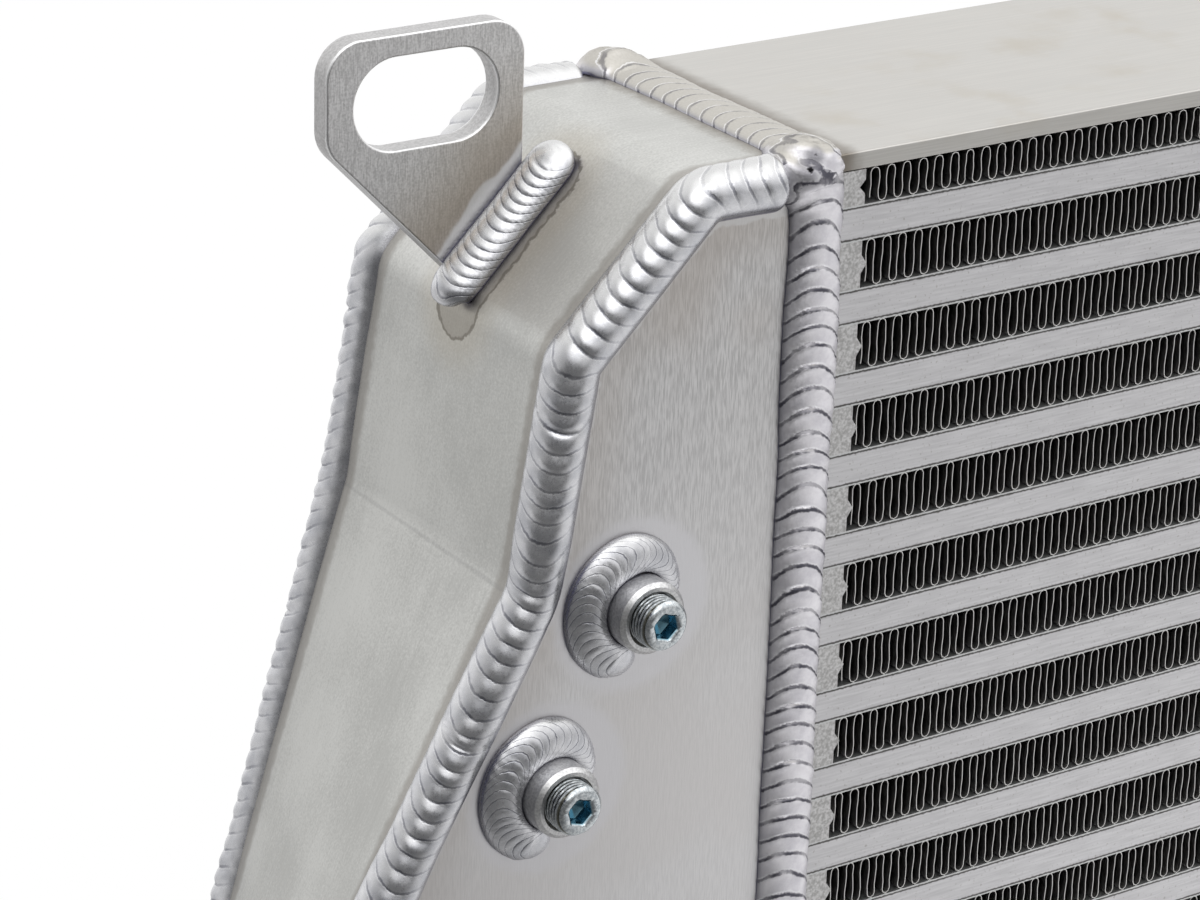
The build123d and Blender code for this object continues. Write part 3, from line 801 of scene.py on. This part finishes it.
def lathe(name, profile, centre, axis, first, count, material, reach, values):
    # A profile of (radius, height) turned about an axis; `reach` changes the radius with the angle.
    turn = np.linspace(0, 2 * np.pi, count, endpoint=False)[:, None]
    plain, height = np.broadcast_arrays(profile[None, :, 0], turn)[0], profile[None, :, 1]
    radius = reach(turn, plain, height)
    second = np.cross(axis, first)
    outward = np.cos(turn)[..., None] * first + np.sin(turn)[..., None] * second
    points = centre + radius[..., None] * outward + (height + 0 * turn)[..., None] * axis
    points = points.transpose(1, 0, 2)
    data = {key: np.repeat(row[:, None], count, 1) for key, row in values.items()}
    data["sunk"] = (plain - radius).T / mm
    return gridPiece(name, points, material, values=data)


def addPlugs(material):
    # The thread's radius swings with height and angle: cos(2 pi (h / thread - angle / 2 pi)).
    ports = sensorPorts
    plugs = []
    for number, (run, drop) in enumerate(ports["places"]):
        centre = np.array([-(coreEnd + run * mm), -halfDepth, coreTop - drop * mm])
        top, foot, bore = ports["plugTop"] * mm, ports["plugFoot"] * mm, (ports["bore"] - 0.02) * mm
        flank = np.linspace(foot, top - ports["plugChamfer"] * mm, 150)
        hexagon = ports["hexAcross"] / 2 * mm
        deep = top - ports["hexDepth"] * mm
        outline = [(0.05 * mm, foot), (0.9 * bore, foot)] + [(bore, h) for h in flank]
        outline += [(bore - 0.45 * mm, top - 0.35 * mm), (bore - 0.9 * mm, top),    # rounded rim
                    (hexagon + 0.65 * mm, top), (hexagon + 0.3 * mm, top - 0.12 * mm),    # countersink
                    (hexagon, top - 0.4 * mm), (hexagon, deep + 0.1 * mm),    # socket wall
                    (0.9 * hexagon, deep), (0.05 * mm, deep - 0.6 * mm)]    # drill point
        profile = np.array(outline)
        inside = np.zeros(len(profile))
        inside[-4:] = 1.0    # the socket's wall and floor
        threaded = (np.arange(len(profile)) > 1) & (np.arange(len(profile)) < 2 + len(flank))
        hexed = np.arange(len(profile)) >= len(profile) - 5

        def reach(turn, radius, height):
            swing = np.cos(2 * np.pi * height / (ports["thread"] * mm) - turn)
            cut = ports["threadDepth"] * mm * (0.5 - 0.5 * np.clip(1.6 * swing, -1, 1))
            sixth = np.pi / 3
            flatTo = 1 / np.cos((turn + 0.3) % sixth - sixth / 2)
            return np.where(threaded, radius - cut, np.where(hexed, radius * flatTo, radius))

        plugs.append(lathe(f"plug_{number}", profile, centre, towardsView, alongCore, 72, material,
                           reach, {"socket": inside}))
    piece = joinPieces("left_socket_plugs", plugs)
    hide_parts("left_port_plugs")
    sharpen(piece, 40)


def sharpen(piece, degrees):
    # crisp edges where faces turn by more than this angle
    with bpy.context.temp_override(object=piece, active_object=piece, selected_editable_objects=[piece],
                                   selected_objects=[piece]):
        bpy.ops.object.shade_smooth_by_angle(angle=math.radians(degrees))


def bevelled(node, name, width, material):
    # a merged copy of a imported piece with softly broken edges
    piece = nodes[node].copy()
    piece.data = nodes[node].data.copy()
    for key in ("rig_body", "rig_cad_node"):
        if key in piece:
            del piece[key]
    piece.name = name
    bpy.context.scene.collection.objects.link(piece)
    mesh = bmesh.new()
    mesh.from_mesh(piece.data)
    bmesh.ops.remove_doubles(mesh, verts=mesh.verts, dist=0.002 * mm)
    bmesh.ops.dissolve_limit(mesh, angle_limit=math.radians(1), verts=mesh.verts, edges=mesh.edges)
    mesh.to_mesh(piece.data)
    mesh.free()
    piece.data.materials.clear()
    piece.data.materials.append(material)
    bevel = piece.modifiers.new("broken edges", "BEVEL")
    bevel.width, bevel.segments, bevel.limit_method = width * mm, 2, "ANGLE"
    bevel.angle_limit = math.radians(30)
    bevel.harden_normals = True
    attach(piece, "root")
    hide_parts(node)


def dress(material, *names):
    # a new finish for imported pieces
    for name in names:
        for slot in nodes[name].material_slots:
            slot.material = material


# Studio

studio = {
    "floorHalf": 6.0,
    "mirroredRight": (0.927, 0.375, 0),    # towards the side where the mirrored floor turns bright
    "lobes": {    # directions of the world's soft lights and of its dim part
        "behind": (0.35, 0.75, 0.56), "softbox": (-0.28, -0.62, 0.73), "dim": (-0.6, -0.8, 0.05),
        "above": (0.3, -0.5, 0.81),
    },
    "cards": [    # name, place, target, width, height and radiance
        ("key_light", (-0.75, -0.75, 1.35), (-0.35, 0, 0.2), 0.4, 0.4, 1.2),
        ("top_light", (0.45, -0.55, 1.2), (-0.2, 0, 0.2), 0.7, 0.5, 0.5),
    ],
}


def addStudio():
    # pale floor and a bright world; the metal mirrors a dim front left, a bright back and a softbox
    scene = bpy.context.scene
    scene.view_settings.view_transform = "Standard"
    floor = bpy.data.materials.new("pale_floor")
    floor.use_nodes = True
    floor.node_tree.nodes.clear()
    add = partial(addNode, floor.node_tree)
    where = add("TexCoord", output="Object")
    right = add("VectorMath", [where, studio["mirroredRight"]], **dotted)
    right = add("MapRange", [right, -0.5, -0.16], **eased)
    depth = add("SeparateXYZ", [where], 1)
    lit = add("Math", [right, add("MapRange", [depth, -0.2, 0.12, 0, 0.68], **eased)], operation="MAXIMUM")
    lit = add("Math", [lit, add("MapRange", [depth, -0.6, -0.12, 0.78, 1.0])], **times)
    diffuse = add("BsdfDiffuse", {"Color": "#F2F2F2"})
    white = add("Emission", {"Color": "#FFFFFF", "Strength": 1.0})
    mirrored = add("Emission", {"Color": "#FFFFFF", "Strength": add("MapRange", [lit, 0, 1, 0.18, 1.0])})
    camera = add("Math", [add("LightPath"), 0.98], **times)
    plain = add("MixShader", [camera, diffuse, white])
    both = add("MixShader", [add("LightPath", output="Is Glossy Ray"), plain, mirrored])
    add("OutputMaterial", [both])
    mesh = bpy.data.meshes.new("floor")
    size = studio["floorHalf"]
    mesh.from_pydata([(-size, -size, 0), (size, -size, 0), (size, size, 0), (-size, size, 0)], [],
                     [(0, 1, 2, 3)])
    mesh.materials.append(floor)
    plane = bpy.data.objects.new("floor", mesh)
    scene.collection.objects.link(plane)

    scene.world = bpy.data.worlds.new("studio")
    scene.world.use_nodes = True
    scene.world.node_tree.nodes.clear()
    add = partial(addNode, scene.world.node_tree)
    direction = add("TexCoord", output="Generated")
    behind, softbox, dim, above = (add("VectorMath", [direction, lobe], **dotted)
                                   for lobe in studio["lobes"].values())
    behind = add("MapRange", [behind, -0.4, 0.85, 0.45, 1.2], **eased)
    softbox = add("MapRange", [softbox, 0.84, 0.96, 0, 0.85], **eased)
    dim = add("MapRange", [dim, 0.75, 0.93, 1, 0.4], **eased)
    above = add("MapRange", [above, 0.5, 0.95, 0, 0.6], **eased)
    sky = add("Math", [add("Math", [behind, above], **plus), dim], **times)
    sky = add("Math", [softbox, sky], **plus)
    strength = add("Mix", {0: add("LightPath"), 2: sky, 3: 1.0})
    add("OutputWorld", [add("Background", {"Color": "#FFFFFF", "Strength": strength})])

    for card in studio["cards"]:
        addCard(*card)


def addCard(name, place, target, width, height, radiance):
    # a soft lamp of a given radiance that faces a point
    lamp = bpy.data.lights.new(name, "AREA")
    lamp.shape, lamp.size, lamp.size_y = "RECTANGLE", width, height
    lamp.energy = radiance * math.pi * width * height
    piece = bpy.data.objects.new(name, lamp)
    back = unit(np.array(place) - np.array(target))
    right = unit(np.cross(upright, back))
    piece.matrix_world = placed(right, np.cross(back, right), back, place)
    bpy.context.scene.collection.objects.link(piece)


def placed(right, up, back, place):
    # an object's matrix from its three axes and its place
    return Matrix([(*row, at) for row, at in zip(np.stack([right, up, back], 1).tolist(), place)]
                  + [(0, 0, 0, 1)])


view = {
    "place": (-0.748992, -0.619945, 0.503706),
    "right": (0.83502, -0.54945, 0.02909),
    "up": (0.18432, 0.32914, 0.92613),
    "ahead": (0.51843, 0.76797, -0.37611),
    "lens": 122.18,
}


def addCamera():
    data = bpy.data.cameras.new("photo_view")
    data.lens, data.sensor_width, data.sensor_fit = view["lens"], 36.0, "HORIZONTAL"
    data.clip_start = 0.01
    camera = bpy.data.objects.new("photo_view", data)
    camera.matrix_world = placed(view["right"], view["up"], [-a for a in view["ahead"]], view["place"])
    bpy.context.scene.collection.objects.link(camera)
    bpy.context.scene.camera = camera


addStudio()
addCamera()
print("studio and camera placed")

silver, matte = weldBead("bright_tig_bead", brightLook), weldBead("matte_tig_bead", matteLook)
addCornerBeads(silver)
addCoreBeads(matte)
addTabBeads(silver)
addPortBeads(silver)
addNeckBeads(silver)
print("weld beads laid")

addFins(finFoil())
addPlugs(zincSteel())
print("fins and plugs made")

plate, sheet, bars, turned = brushedPlate(), wrapSheet(), brazedBars(), speckled("turned_aluminium")[0]
mill, tab = millPlate(), cutPlate()
for sideName in ("left", "right"):
    dress(plate, f"{sideName}_front_plate", f"{sideName}_rear_plate")
    dress(sheet, f"{sideName}_wrap")
    dress(turned, f"{sideName}_neck")
    bevelled(f"{sideName}_tab", f"{sideName}_slotted_tab", 0.5, tab)
dress(turned, "left_port_bungs")
dress(speckled("end_bar_aluminium")[0], "left_end_bars", "right_end_bars")
dress(bars, *[f"charge_tube_{number:02d}" for number in range(1, 16)])
dress(mill, "core_bottom_plate")
bevelled("core_top_plate", "top_plate", 0.45, mill)
dress(bars, "charge_fins")
print("finishes assigned")
